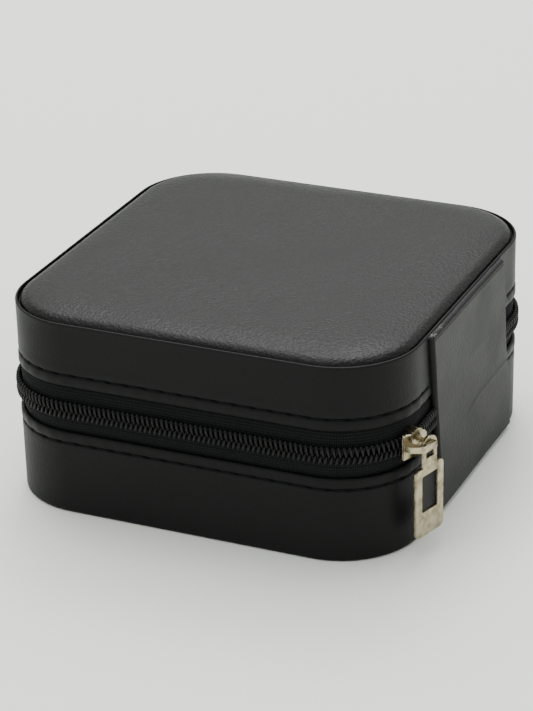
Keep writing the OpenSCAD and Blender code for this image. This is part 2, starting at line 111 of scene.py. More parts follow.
class CaseSizes(bpy.types.PropertyGroup):
    """Sizes that set how the soft pieces look."""

    corner_radius: length("Corner radius", "Radius of the upright corners", 19, 16, 26)
    leather: length("Leather", "Thickness of the wall leather", 0.9, 0.6, 1.4)
    hem_puff: length("Hem puff", "How far a turned hem swells out", 0.2, 0, 0.5)
    stitch: length("Stitch", "Length of one stitch", 3.5, 2, 4)
    stitch_pitch: length("Stitch pitch", "Distance from stitch to stitch", 4.4, 3, 6)
    stitch_in: length("Stitch inset", "Distance of the stitching from the hem", 2.8, 1, 4)
    thread: length("Thread", "Radius of the sewing thread", 0.23, 0.1, 0.4)
    crown_width: length("Crown width", "Band where the cushion rolls down", 10, 5, 14)
    tooth_pitch: length("Tooth pitch", "Distance between two turns of the coil", 1.21, 1, 2.5)
    tooth: length("Tooth", "Radius of the coil's monofilament", 0.28, 0.2, 0.5)
    grain: length("Leather grain", "Width of one pebble of the leather's grain", 0.7, 0.3, 1.5)
    weave: length("Tape weave", "Distance between two ribs of the woven tape", 0.75, 0.2, 1)


class CaseColours(bpy.types.PropertyGroup):
    """Colours of the finishes."""

    leather: colour("Leather", "Coated leather on the walls", "#0d0e0e")
    top: colour("Top leather", "Coated leather on the cushioned top", "#121312")
    thread: colour("Thread", "Sewing thread", "#07080c")
    tape: colour("Tape", "Woven zip tape", "#0b0c0e")
    coil: colour("Coil", "Nylon coil", "#090a0a")
    nickel: colour("Nickel", "Slider and puller", "#b3a98e")
    tarnish: colour("Tarnish", "Dull patches on the nickel", "#6a5f44")
    velvet: colour("Velvet", "Lining and ring rolls", "#4b4a4e")
    board: colour("Board", "Fibreboard under the leather", "#8a8378")
    floor: colour("Floor", "Pale floor", "#f5f7f1")


def sizes():
    """The scene's sizes in millimetres, as one object with plain attributes."""
    group = bpy.context.scene.case_sizes
    names = CaseSizes.__annotations__
    return type("Sizes", (), {n: getattr(group, n) / MM for n in names})


def colours():
    """The scene's colours."""
    return bpy.context.scene.case_colours


# ---- meshes ----


def flipped_outward(points, faces):
    """Faces turned so that the closed surface's signed volume is positive."""
    tri = np.array([f[:3] for f in faces])
    quad = np.array([(f[0], f[2], f[3]) for f in faces if len(f) == 4]).reshape(-1, 3)
    tri = np.vstack([tri, quad]) if len(quad) else tri
    a, b, c = points[tri[:, 0]], points[tri[:, 1]], points[tri[:, 2]]
    volume = np.einsum("ij,ij->i", a, np.cross(b, c)).sum()
    return [tuple(reversed(f)) for f in faces] if volume < 0 else faces


def make_mesh(name, points, faces, uv=None):
    """A smooth mesh from millimetre points, with one UV pair a point where given."""
    mesh = bpy.data.meshes.new(name)
    mesh.from_pydata((points * MM).tolist(), [], flipped_outward(points, faces))
    mesh.polygons.foreach_set("use_smooth", np.ones(len(mesh.polygons), bool))
    if uv is not None:
        corner = np.zeros(len(mesh.loops), np.int32)
        mesh.loops.foreach_get("vertex_index", corner)
        layer = mesh.uv_layers.new(name="along")
        layer.data.foreach_set("uv", (uv[corner] * MM).astype(np.float32).ravel())
    mesh.update()
    return mesh


def grid_faces(rows, columns, wrap_rows=False, wrap_columns=False, first=0):
    """Quads between neighbouring rows and columns of a grid of points."""
    index = first + np.arange(rows * columns).reshape(rows, columns)
    down = np.roll(index, -1, 0) if wrap_rows else index[1:]
    here = index if wrap_rows else index[:-1]
    if wrap_columns:
        right_here, right_down = np.roll(here, -1, 1), np.roll(down, -1, 1)
    else:
        right_here, right_down = here[:, 1:], down[:, 1:]
        here, down = here[:, :-1], down[:, :-1]
    quads = np.stack([here, down, right_down, right_here], -1).reshape(-1, 4)
    return [tuple(q) for q in quads.tolist()]


def grid_mesh(name, grid, wrap_rows=False, wrap_columns=False, uv=None):
    """A grid of points as a mesh. Open rows whose columns wrap are closed with a cap."""
    rows, columns = grid.shape[:2]
    faces = grid_faces(rows, columns, wrap_rows, wrap_columns)
    if wrap_columns and not wrap_rows:
        faces.append(tuple(reversed(range(columns))))
        faces.append(tuple(range((rows - 1) * columns, rows * columns)))
    flat = None if uv is None else uv.reshape(-1, 2)
    return make_mesh(name, grid.reshape(-1, 3), faces, flat)


def slab_mesh(name, front, back):
    """Two grids of the same size, joined round their borders into a closed slab."""
    rows, columns = front.shape[:2]
    count = rows * columns
    faces = grid_faces(rows, columns)
    faces += [tuple(reversed(f)) for f in grid_faces(rows, columns, first=count)]
    index = np.arange(count).reshape(rows, columns)
    border = np.concatenate(
        [index[0, :-1], index[:-1, -1], index[-1, :0:-1], index[:0:-1, 0]]
    )
    after = np.roll(border, -1)
    sides = np.stack([after, border, border + count, after + count], -1)
    faces += [tuple(q) for q in sides.tolist()]
    return make_mesh(name, np.vstack([front.reshape(-1, 3), back.reshape(-1, 3)]), faces)


def tubes_mesh(name, centre, across, up, radius_a, radius_b, sides, uv=None):
    """Closed tubes round centre lines. centre, across and up are (tubes, points, 3) arrays,
    and a tube's ring at a point is centre + a cos(angle) across + b sin(angle) up."""
    tubes, points = centre.shape[:2]
    angle = np.linspace(0, 2 * math.pi, sides, endpoint=False)
    ring_a = np.cos(angle)[:, None] * across[:, :, None, :]
    ring_b = np.sin(angle)[:, None] * up[:, :, None, :]
    a = np.broadcast_to(radius_a, (tubes, points))[:, :, None, None]
    b = np.broadcast_to(radius_b, (tubes, points))[:, :, None, None]
    rings = centre[:, :, None, :] + a * ring_a + b * ring_b
    one = np.array(grid_faces(points, sides, wrap_columns=True))
    shift = (np.arange(tubes) * points * sides)[:, None, None]
    faces = [tuple(q) for q in (one + shift).reshape(-1, 4).tolist()]
    starts = np.arange(tubes)[:, None] * points * sides
    first = starts + np.arange(sides)[::-1]
    last = starts + (points - 1) * sides + np.arange(sides)
    faces += [tuple(c) for c in np.vstack([first, last]).tolist()]
    return make_mesh(name, rings.reshape(-1, 3), faces, uv)


def add_piece(name, mesh, material, body, replaces=()):
    """Puts a mesh in the scene, riding on a body and standing for some frame nodes."""
    piece = bpy.data.objects.new(name, mesh)
    bpy.context.scene.collection.objects.link(piece)
    mesh.materials.clear()
    mesh.materials.append(material)
    if body:
        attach(piece, body)
    if replaces:
        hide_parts(*replaces)
    return piece


def softened(node, width, steps=3, angle=35, ring=False):
    """A copy of a frame node's mesh with its doubles merged and its edges rounded. A ring's
    flat faces go right round it, so they are cut in four before they are merged."""
    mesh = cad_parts[node].data.copy()
    work = bmesh.new()
    work.from_mesh(mesh)
    bmesh.ops.remove_doubles(work, verts=work.verts, dist=1e-6)
    for normal in ((1, 0, 0), (0, 1, 0)) if ring else ():
        everything = work.verts[:] + work.edges[:] + work.faces[:]
        cut = bmesh.ops.bisect_plane(work, geom=everything, plane_no=normal)["geom_cut"]
        for edge in cut:
            if isinstance(edge, bmesh.types.BMEdge):
                edge.seam = True
    bmesh.ops.dissolve_limit(
        work, angle_limit=math.radians(0.5), verts=work.verts, edges=work.edges,
        delimit={"SEAM"},
    )
    work.to_mesh(mesh)
    work.free()
    holder = bpy.data.objects.new(node + "_work", mesh)
    bpy.context.scene.collection.objects.link(holder)
    bevel = holder.modifiers.new("edges", "BEVEL")
    bevel.width = width * MM
    bevel.segments = steps
    bevel.limit_method = "ANGLE"
    bevel.angle_limit = math.radians(angle)
    bevel.miter_outer = "MITER_ARC"
    bevel.use_clamp_overlap = True
    normals = holder.modifiers.new("normals", "WEIGHTED_NORMAL")
    normals.keep_sharp = True
    graph = bpy.context.evaluated_depsgraph_get()
    result = bpy.data.meshes.new_from_object(holder.evaluated_get(graph))
    bpy.data.objects.remove(holder)
    result.polygons.foreach_set("use_smooth", np.ones(len(result.polygons), bool))
    result.name = node + "_soft"
    return result


# ---- the case's outline ----


def outline(s, radius):
    """The outline at distances s, run from the middle of the back towards the right side.

    The outline is the path of a point that stays one corner radius away from an inner
    centre line, so both the centre's place and the outward angle are straight-line
    functions of the distance run. Returns the centres and the outward unit vectors.
    """
    cx, cy = HALF_W - radius, HALF_D - radius
    arc = math.pi * radius / 2
    runs = np.cumsum([0, cx, arc, 2 * cy, arc, 2 * cx, arc, 2 * cy, arc, cx])
    xs = [0, cx, cx, cx, cx, -cx, -cx, -cx, -cx, 0]
    ys = [cy, cy, cy, -cy, -cy, -cy, -cy, cy, cy, cy]
    angles = [90, 90, 0, 0, -90, -90, -180, -180, -270, -270]
    s = np.mod(s, runs[-1])
    centre = np.stack([np.interp(s, runs, xs), np.interp(s, runs, ys)], -1)
    angle = np.radians(np.interp(s, runs, angles))
    return centre, np.stack([np.cos(angle), np.sin(angle)], -1)


def outline_length(radius):
    """The whole way round the outline."""
    return 4 * (HALF_W + HALF_D - 2 * radius) + 2 * math.pi * radius


def carried(s, u, z, radius):
    """Points at distance u out from the wall face and height z, at distances s round it."""
    centre, out = outline(s, radius)
    u, z = np.broadcast_arrays(u, z)
    extra = (1,) * (u.ndim - s.ndim)
    centre = centre.reshape(s.shape + extra + (2,))
    out = out.reshape(s.shape + extra + (2,))
    flat = centre + (radius + u)[..., None] * out
    return np.concatenate([flat, z[..., None]], -1)


def smooth(x):
    """A smooth step from 0 to 1 as x goes from 0 to 1."""
    x = np.clip(x, 0, 1)
    return x * x * (3 - 2 * x)


def bump_at(x, width):
    """A soft hump of height 1 at x = 0."""
    return np.exp(-((x / width) ** 2))


# ---- materials ----

# A Wave texture of scale 1 repeats after this distance.
WAVE_PERIOD = 2 * math.pi / 20


def input_of(node, key):
    """A node's live input by number or name, or None."""
    if isinstance(key, int):
        return node.inputs[key]
    return next((i for i in node.inputs if i.name == key and i.enabled), None)


def add(tree, kind, settings=None, **links):
    """Adds one node with its settings; links maps an input's name to a node's output."""
    new = tree.nodes.new(kind)
    for key, value in (settings or {}).items():
        socket = input_of(new, key)
        if socket is None:
            setattr(new, key, value)
        else:
            socket.default_value = value
    for key, source in links.items():
        tree.links.new(source, input_of(new, key.replace("_", " ")))
    return new


def start(name, base, roughness, **settings):
    """A new material with its shader's constants set on the shader's own sockets."""
    material = bpy.data.materials.new(name)
    material.use_nodes = True
    tree = material.node_tree
    shader = tree.nodes["Principled BSDF"]
    shader.inputs["Base Color"].default_value = (*base, 1)
    shader.inputs["Roughness"].default_value = roughness
    for key, value in settings.items():
        shader.inputs[key.replace("_", " ")].default_value = value
    place = add(tree, "ShaderNodeTexCoord").outputs["Object"]
    return material, tree, shader, place


def ramp(tree, factor, stops):
    """A colour ramp through (position, colour) stops."""
    node = add(tree, "ShaderNodeValToRGB", Fac=factor)
    while len(node.color_ramp.elements) < len(stops):
        node.color_ramp.elements.new(0.5)
    for element, (position, value) in zip(node.color_ramp.elements, stops):
        element.position = position
        element.color = (*value, 1) if len(value) == 3 else value
    return node.outputs["Color"]


def grey(value):
    return (value, value, value)


def scaled(value, factor):
    """A colour made lighter or darker."""
    return tuple(min(1.0, c * factor) for c in value)


def noise(tree, place, width, detail, **values):
    """Smooth noise whose blots are about width millimetres across."""
    values = {"Scale": 1 / (width * MM), "Detail": detail, **values}
    return add(tree, "ShaderNodeTexNoise", values, Vector=place)


def coated_leather(name, base, rough, grain, grain_depth, gloss=1.5, scuffed_above=None):
    """Polyurethane-coated split leather, embossed and semi-matt: a fine pebbled grain,
    faint cloudy changes of colour, and glossier high spots where it has been rubbed. Above
    the height scuffed_above, its cut edge is worn pale at the spine's outer corner."""
    material, tree, shader, place = start(name, base, rough, IOR=gloss)
    cloud = noise(tree, place, 14, 3)
    tone = ramp(tree, cloud.outputs["Fac"], [(0.3, scaled(base, 0.86)), (0.7, scaled(base, 1.16))])
    tree.links.new(tone, shader.inputs["Base Color"])
    wobble = noise(tree, place, 2 * grain, 2)
    moved = add(
        tree, "ShaderNodeMix", {"data_type": "VECTOR", "Factor": 0.0006}, A=place,
        B=wobble.outputs["Color"],
    )
    pebble = add(
        tree, "ShaderNodeTexVoronoi",
        {"feature": "SMOOTH_F1", "Scale": 1 / (grain * MM), "Smoothness": 0.6},
        Vector=moved.outputs[1],
    )
    fine = noise(tree, place, 0.25, 4)
    height = add(
        tree, "ShaderNodeMath", {"operation": "MULTIPLY_ADD", 1: 0.35},
        Value=fine.outputs["Fac"],
    )
    tree.links.new(pebble.outputs["Distance"], height.inputs[2])
    spread = ramp(
        tree, cloud.outputs["Fac"], [(0.25, grey(rough - 0.05)), (0.75, grey(rough + 0.06))]
    )
    tree.links.new(spread, shader.inputs["Roughness"])
    bump = add(
        tree, "ShaderNodeBump", {"Strength": 0.8, "Distance": grain_depth * MM, "invert": True},
        Height=height.outputs[0],
    )
    if scuffed_above:
        height_of = add(tree, "ShaderNodeSeparateXYZ", Vector=place)
        edge = add(
            tree, "ShaderNodeMapRange",
            {"From Min": scuffed_above * MM, "From Max": (scuffed_above + 0.4) * MM},
            Value=height_of.outputs["Z"],
        )
        worn = noise(tree, place, 1.6, 4, Roughness=0.7)
        corner = add(
            tree, "ShaderNodeMapRange",
            {"From Min": (SPINE_HIGH[0] - 9) * MM, "From Max": (SPINE_HIGH[0] - 1) * MM},
            Value=height_of.outputs["X"],
        )
        at_corner = add(tree, "ShaderNodeMath", {"operation": "MULTIPLY"}, Value=edge.outputs[0])
        tree.links.new(corner.outputs[0], at_corner.inputs[1])
        edge = at_corner
        spots = ramp(tree, worn.outputs["Fac"], [(0.5, grey(0)), (0.62, grey(0.8))])
        amount = add(tree, "ShaderNodeMath", {"operation": "MULTIPLY"}, Value=edge.outputs[0])
        tree.links.new(spots, amount.inputs[1])
        pale = add(
            tree, "ShaderNodeMix", {"data_type": "RGBA", "B": (0.3, 0.3, 0.29, 1)},
            Factor=amount.outputs[0], A=tone,
        )
        tree.links.new(pale.outputs[2], shader.inputs["Base Color"])
    tree.links.new(bump.outputs["Normal"], shader.inputs["Normal"])
    return material


def nylon_coil(name, base):
    """Drawn nylon monofilament, dyed black: smooth, with a narrow bright highlight."""
    material, tree, shader, place = start(name, base, 0.42, IOR=1.32)
    dust = noise(tree, place, 1.3, 3)
    spread = ramp(tree, dust.outputs["Fac"], [(0.35, grey(0.34)), (0.75, grey(0.55))])
    tree.links.new(spread, shader.inputs["Roughness"])
    return material


def woven_tape(name, base, pitch):
    """Woven polyester tape: fine ribs along the zip crossed by finer picks, dull all over.
    The ribs are drawn on the piece's own UV map, so that they follow the corners."""
    material, tree, shader, _ = start(name, base, 0.9, Specular_IOR_Level=0.2)
    uv = add(tree, "ShaderNodeUVMap", {"uv_map": "along"}).outputs["UV"]
    ribs = add(
        tree, "ShaderNodeTexWave",
        {"bands_direction": "Y", "Scale": WAVE_PERIOD / (pitch * MM), "Distortion": 0.6},
        Vector=uv,
    )
    picks = add(
        tree, "ShaderNodeTexWave",
        {"bands_direction": "X", "Scale": WAVE_PERIOD / (0.7 * pitch * MM), "Distortion": 0.4},
        Vector=uv,
    )
    both = add(tree, "ShaderNodeMath", {"operation": "MULTIPLY"}, Value=ribs.outputs["Fac"])
    tree.links.new(picks.outputs["Fac"], both.inputs[1])
    tone = ramp(tree, both.outputs[0], [(0.1, scaled(base, 0.3)), (0.7, scaled(base, 2.8))])
    tree.links.new(tone, shader.inputs["Base Color"])
    bump = add(
        tree, "ShaderNodeBump", {"Strength": 1.0, "Distance": 0.14 * MM}, Height=both.outputs[0]
    )
    tree.links.new(bump.outputs["Normal"], shader.inputs["Normal"])
    return material


def twisted_thread(name, base):
    """Bonded polyester thread: three plies twisted, dull and nearly black."""
    material, tree, shader, place = start(name, base, 0.75, Specular_IOR_Level=0.15)
    ply = add(
        tree, "ShaderNodeTexWave",
        {"bands_direction": "DIAGONAL", "Scale": WAVE_PERIOD / (0.5 * MM), "Distortion": 1.0},
        Vector=place,
    )
    bump = add(
        tree, "ShaderNodeBump", {"Strength": 0.7, "Distance": 0.05 * MM}, Height=ply.outputs["Fac"]
    )
    tree.links.new(bump.outputs["Normal"], shader.inputs["Normal"])
    return material


def cast_nickel(name, base, tarnish, rough):
    """Zinc casting, tumbled and nickel-plated: satin, warm, a little wavy from the mould, with
    duller tarnished patches and small scuffs."""
    material, tree, shader, place = start(name, base, rough, Metallic=1.0)
    patch = noise(tree, place, 3.2, 5, Roughness=0.65)
    tone = ramp(tree, patch.outputs["Fac"], [(0.42, base), (0.72, tarnish)])
    tree.links.new(tone, shader.inputs["Base Color"])
    spread = ramp(
        tree, patch.outputs["Fac"], [(0.35, grey(rough - 0.05)), (0.75, grey(rough + 0.16))]
    )
    tree.links.new(spread, shader.inputs["Roughness"])
    scuff = noise(tree, place, 0.35, 3)
    waves = noise(tree, place, 2.4, 1)
    relief = add(
        tree, "ShaderNodeMath", {"operation": "MULTIPLY_ADD", 1: 4.0}, Value=waves.outputs["Fac"]
    )
    tree.links.new(scuff.outputs["Fac"], relief.inputs[2])
    bump = add(
        tree, "ShaderNodeBump", {"Strength": 0.6, "Distance": 0.04 * MM},
        Height=relief.outputs[0],
    )
    tree.links.new(bump.outputs["Normal"], shader.inputs["Normal"])
    return material


def flocked_velvet(name, base):
    """Flocked velvet: short upright fibres, dark from the front and pale at a grazing angle,
    with brushed patches."""
    material, tree, shader, place = start(
        name, base, 0.95, IOR=1.45, Sheen_Weight=0.7, Sheen_Roughness=0.35
    )
    shader.inputs["Sheen Tint"].default_value = (*scaled(base, 6), 1)
    brushed = add(
        tree, "ShaderNodeTexNoise", {"Scale": 1 / (9 * MM), "Detail": 3, "Distortion": 1.2},
        Vector=place,
    )
    pile = noise(tree, place, 0.3, 4)
    mixed = add(
        tree, "ShaderNodeMath", {"operation": "MULTIPLY_ADD", 1: 0.35}, Value=pile.outputs["Fac"]
    )
    tree.links.new(brushed.outputs["Fac"], mixed.inputs[2])
    tone = ramp(tree, mixed.outputs[0], [(0.45, scaled(base, 0.6)), (0.9, scaled(base, 1.5))])
    tree.links.new(tone, shader.inputs["Base Color"])
    bump = add(
        tree, "ShaderNodeBump", {"Strength": 0.8, "Distance": 0.12 * MM},
        Height=pile.outputs["Fac"],
    )
    tree.links.new(bump.outputs["Normal"], shader.inputs["Normal"])
    return material


def fibreboard(name, base):
    """Grey pressed fibreboard: dull, with darker and lighter fibres."""
    material, tree, shader, place = start(name, base, 0.9, IOR=1.45)
    fibre = noise(tree, place, 1.2, 6, Roughness=0.7)
    tone = ramp(tree, fibre.outputs["Fac"], [(0.3, scaled(base, 0.7)), (0.7, scaled(base, 1.2))])
    tree.links.new(tone, shader.inputs["Base Color"])
    bump = add(
        tree, "ShaderNodeBump", {"Strength": 0.4, "Distance": 0.1 * MM}, Height=fibre.outputs["Fac"]
    )
    tree.links.new(bump.outputs["Normal"], shader.inputs["Normal"])
    return material


def finish(kind):
    """The named finish, made the first time that it is asked for."""
    if kind in bpy.data.materials:
        return bpy.data.materials[kind]
    c, k = colours(), sizes()
    if kind == "coated_wall_leather":
        return coated_leather(kind, tuple(c.leather), 0.46, k.grain, 0.05, 1.23)
    if kind == "coated_top_leather":
        return coated_leather(kind, tuple(c.top), 0.34, k.grain, 0.14, 1.22)
    if kind == "coated_spine_leather":
        return coated_leather(kind, tuple(c.leather), 0.5, k.grain, 0.07, 1.28, SPINE_HIGH[2] - 0.5)
    if kind == "dyed_nylon_monofilament":
        return nylon_coil(kind, tuple(c.coil))
    if kind == "woven_polyester_tape":
        return woven_tape(kind, tuple(c.tape), k.weave)
    if kind == "bonded_polyester_thread":
        return twisted_thread(kind, tuple(c.thread))
    if kind == "tumbled_nickel_plate":
        return cast_nickel(kind, tuple(c.nickel), tuple(c.tarnish), 0.22)
    if kind == "flocked_velvet":
        return flocked_velvet(kind, tuple(c.velvet))
    if kind == "pressed_fibreboard":
        return fibreboard(kind, tuple(c.board))
    raise ValueError("no finish is called " + kind)


# ---- leather walls ----

SOFT_WAVES = [(17.0, 9.0, 0.3, 0.07), (31.0, 14.0, 1.9, 0.09), (7.4, 6.0, 4.0, 0.03)]


def glued_waves(s, z):
    """The shallow waves of hand-glued leather: a few long sine waves along and up the wall."""
    total = 0 * (s + z)
    for along, upright, phase, size in SOFT_WAVES:
        total = total + size * np.sin(s / along + phase) * np.sin(z / upright + 2 * phase)
    return total


def stitch_centres(k):
    """Distances round the outline of every stitch, from one side of the spine to the other."""
    start_s = SPINE_HIGH[0] - 1
    end_s = outline_length(k.corner_radius) + SPINE_LOW[0] + 1
    count = int((end_s - start_s) / k.stitch_pitch)
    return start_s + (np.arange(count) + 0.5) * (end_s - start_s) / count


def wall_relief(s, z, hem_z, inward, k):
    """How far the leather stands out of its plane.

    The turned hem swells beside its edge, the seam is drawn in along the stitching, and the
    leather dips further at each needle hole. inward is 1 where the wall lies above its hem.
    """
    from_hem = (z - hem_z) * inward
    seam = from_hem - k.stitch_in
    puff = k.hem_puff * bump_at(from_hem - 1.2, 1.1) + 0.06 * bump_at(seam - 1.6, 1.0)
    drawn = -0.5 * bump_at(seam, 0.27)
    centres = stitch_centres(k)
    pitch = centres[1] - centres[0]
    phase = (s - centres[0] + pitch / 2) / pitch
    sewn = (phase > 0) & (phase < len(centres))
    hole = np.abs(phase - np.round(phase)) * pitch
    pulled = -0.22 * bump_at(hole, 0.5) * bump_at(seam, 0.5) * sewn
    scallop = 0.05 * np.cos(2 * math.pi * phase) * bump_at(from_hem - 0.9, 1.4) * sewn
    return puff + drawn * sewn + pulled - scallop + glued_waves(s, z)


def wall_profile(z_low, z_high, thick, lip, seam_z):
    """The cross-section of a leather wall, as u and z: a flat band with a round nose at each
    end, and with its rows closest together round the seam. Its inner face slants out over the
    last stretch below the top, to a nose lip thick."""
    low_r, high_r = thick / 2, lip / 2
    ends = [z_low + low_r, seam_z - 0.9, seam_z + 0.9, z_high - high_r]
    steps = [max(4, int((ends[1] - ends[0]) / 0.35)), 25, max(4, int((ends[3] - ends[2]) / 0.35))]
    rise = np.concatenate([
        np.linspace(a, b, n, endpoint=b == ends[3]) for a, b, n in zip(ends, ends[1:], steps)
    ])
    turn = np.linspace(0, math.pi, 11)[1:-1]
    inner_z = np.array([z_high - high_r, z_high - 1.6, (z_low + z_high) / 2, z_low + low_r])
    inner_u = np.array([-lip, -thick, -thick, -thick])
    u = np.concatenate([
        0 * rise, -high_r + high_r * np.cos(turn), inner_u, -low_r - low_r * np.cos(turn)
    ])
    z = np.concatenate([
        rise, z_high - high_r + high_r * np.sin(turn), inner_z, z_low + low_r - low_r * np.sin(turn)
    ])
    return u, z


def leather_wall(name, z_low, z_high, hem_z, inward, k, edge_round, lip):
    """One leather wall carried all the way round the case.

    edge_round is how far the wall's plain edge rolls in, at the rim or at the underside.
    """
    total = outline_length(k.corner_radius)
    s = np.linspace(0, total, 960, endpoint=False)[:, None]
    u, z = wall_profile(z_low, z_high, k.leather, lip, hem_z + inward * k.stitch_in)
    outer = np.clip(u / k.leather + 1, 0, 1)
    far = z_high if inward > 0 else z_low
    rolled = np.clip(1 - np.abs(z - far) / edge_round, 0, 1)
    roll = edge_round * (1 - np.sqrt(1 - rolled**2))
    fade = smooth(np.abs(z - far) / 2.0)
    u_all = u + outer * (wall_relief(s, z, hem_z, inward, k) * fade - 0.6 * roll)
    z_all = np.broadcast_to(z, u_all.shape)
    grid = carried(s[:, 0], u_all, z_all, k.corner_radius)
    return grid_mesh(name, grid, wrap_rows=True, wrap_columns=True)


class CASE_OT_walls(bpy.types.Operator):
    """Leather walls of the lid and the base, with turned hems"""

    bl_idname = "jewel_case.walls"
    bl_label = "Leather walls"

    def execute(self, context):
        k = sizes()
        leather = finish("coated_wall_leather")
        lid = leather_wall("lid_leather_wall", LID_Z, RIM_Z, LID_Z, 1, k, 0.4, 0.6)
        add_piece("lid_leather_wall", lid, leather, "lid", ["lid_wall_cover"])
        base = leather_wall("base_leather_wall", 0.0, BASE_Z, BASE_Z, -1, k, 0.9, k.leather)
        add_piece("base_leather_wall", base, leather, "base", ["base_wall_cover"])
        return {"FINISHED"}


class CASE_OT_stitches(bpy.types.Operator):
    """Sewing thread along both hems"""

    bl_idname = "jewel_case.stitches"
    bl_label = "Stitching"

    def execute(self, context):
        k = sizes()
        thread = finish("bonded_polyester_thread")
        self.row("lid_thread", LID_Z + k.stitch_in, k, thread, "lid", "lid_stitching")
        self.row("base_thread", BASE_Z - k.stitch_in, k, thread, "base", "base_stitching")
        return {"FINISHED"}

    @staticmethod
    def row(name, z, k, thread, body, node):
        """Each stitch is a short tube that rises out of one needle hole, lies on the
        leather, and dives into the next; it leans a little, as a lockstitch does."""
        x = np.linspace(-1, 1, 11)
        s = stitch_centres(k)[:, None] + x * k.stitch / 2
        lift = -0.56 + 0.3 * (1 - x**4)
        u = np.broadcast_to(lift, s.shape) + glued_waves(s, z)
        height = z + 0.13 * x + 0 * s
        centre = carried(s, u, height, k.corner_radius)
        _, out = outline(s, k.corner_radius)
        across = np.concatenate([out, 0 * s[..., None]], -1)
        up = np.zeros_like(centre)
        up[..., 2] = 1
        swell = np.sqrt(np.clip(1.06 - x**6, 0.05, 1))
        mesh = tubes_mesh(name, centre, across, up, k.thread * 0.85 * swell, k.thread * swell, 8)
        add_piece(name, mesh, thread, body, [node])


# ---- zip ----

ZIP_BEHIND = 6.0
NOSE_TURN = 13
PARTED = 0.3
PARTED_OVER = 13


def zip_ends(k):
    """Where the zip starts and ends, hidden behind the spine, as distances round the case."""
    first = SPINE_HIGH[0] - 5 - ZIP_BEHIND
    return first, outline_length(k.corner_radius) + SPINE_LOW[0] + ZIP_BEHIND + 3


def parting(s, k):
    """How far each half of the zip has moved away from the middle. Past the slider's nose,
    NOSE_TURN degrees round the corner from the back wall, the halves come PARTED mm apart
    towards the right-hand edge of the spine."""
    nose = HALF_W - k.corner_radius + k.corner_radius * math.radians(NOSE_TURN)
    return PARTED * smooth((nose - s) / PARTED_OVER)


def ride_lid_half(piece):
    """The lid's half of the zip beside the spine: its placement is baked into its mesh, and it
    rides on no body."""
    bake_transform(piece)


class CASE_OT_tapes(bpy.types.Operator):
    """Woven tapes of the zip, bowed out from the hems to the coil"""

    bl_idname = "jewel_case.tapes"
    bl_label = "Zip tapes"

    def execute(self, context):
        k = sizes()
        weave = finish("woven_polyester_tape")
        lower = self.tape("lower_tape_cloth", -1, k, 0, 1)
        nodes = ["lower_tape", "lower_tape_ends"]
        add_piece("lower_tape_cloth", lower, weave, "base", nodes)
        right = self.tape("upper_tape_right", 1, k, 0, 0.5)
        nodes = ["upper_tape_ends"]
        ride_lid_half(add_piece("upper_tape_right", right, weave, None, nodes))
        left = self.tape("upper_tape_left", 1, k, 0.5, 1)
        add_piece("upper_tape_left", left, weave, "lid", ["upper_tape"])
        return {"FINISHED"}

    @staticmethod
    def tape(name, way, k, begin, end):
        """A thin band whose cross-section goes from under the hem, bows out over the gap and
        ends behind the coil. Its front and back are the same curve, half a millimetre apart.
        begin and end are shares of the zip's length."""
        first, last = zip_ends(k)
        s = first + (last - first) * np.linspace(begin, end, int(620 * (end - begin)) + 1)
        h_nodes = [0.12, 1.2, 2.4, 3.4, 4.6, 5.8, 7.5, 10.2]
        u_nodes = [-0.52, -0.50, -0.50, -0.42, -0.60, -0.93, -1.0, -1.0]
        v = np.linspace(0, 1, 26)
        h = np.interp(v, np.linspace(0, 1, len(h_nodes)), h_nodes)
        u = np.interp(h, h_nodes, u_nodes)
        thick = 0.45
        front = np.stack([u, h], -1)
        back = np.stack([u - thick, h], -1)[::-1]
        loop = np.vstack([front, back])
        apart = parting(s, k)[:, None] * np.clip((8 - loop[:, 1]) / 8, 0, 1)
        ripple = 0.05 * np.sin(s[:, None] / 2.6) * bump_at(loop[:, 1] - 4, 1.5)
        z = ZIP_Z + way * (loop[:, 1] + apart)
        grid = carried(s, loop[:, 0] + ripple, z, k.corner_radius)
        run = np.concatenate([[0], np.cumsum(np.hypot(*np.diff(loop, axis=0).T))])
        uv = np.stack(np.meshgrid(s, run, indexing="ij"), -1)
        return grid_mesh(name, grid, wrap_columns=True, uv=uv)


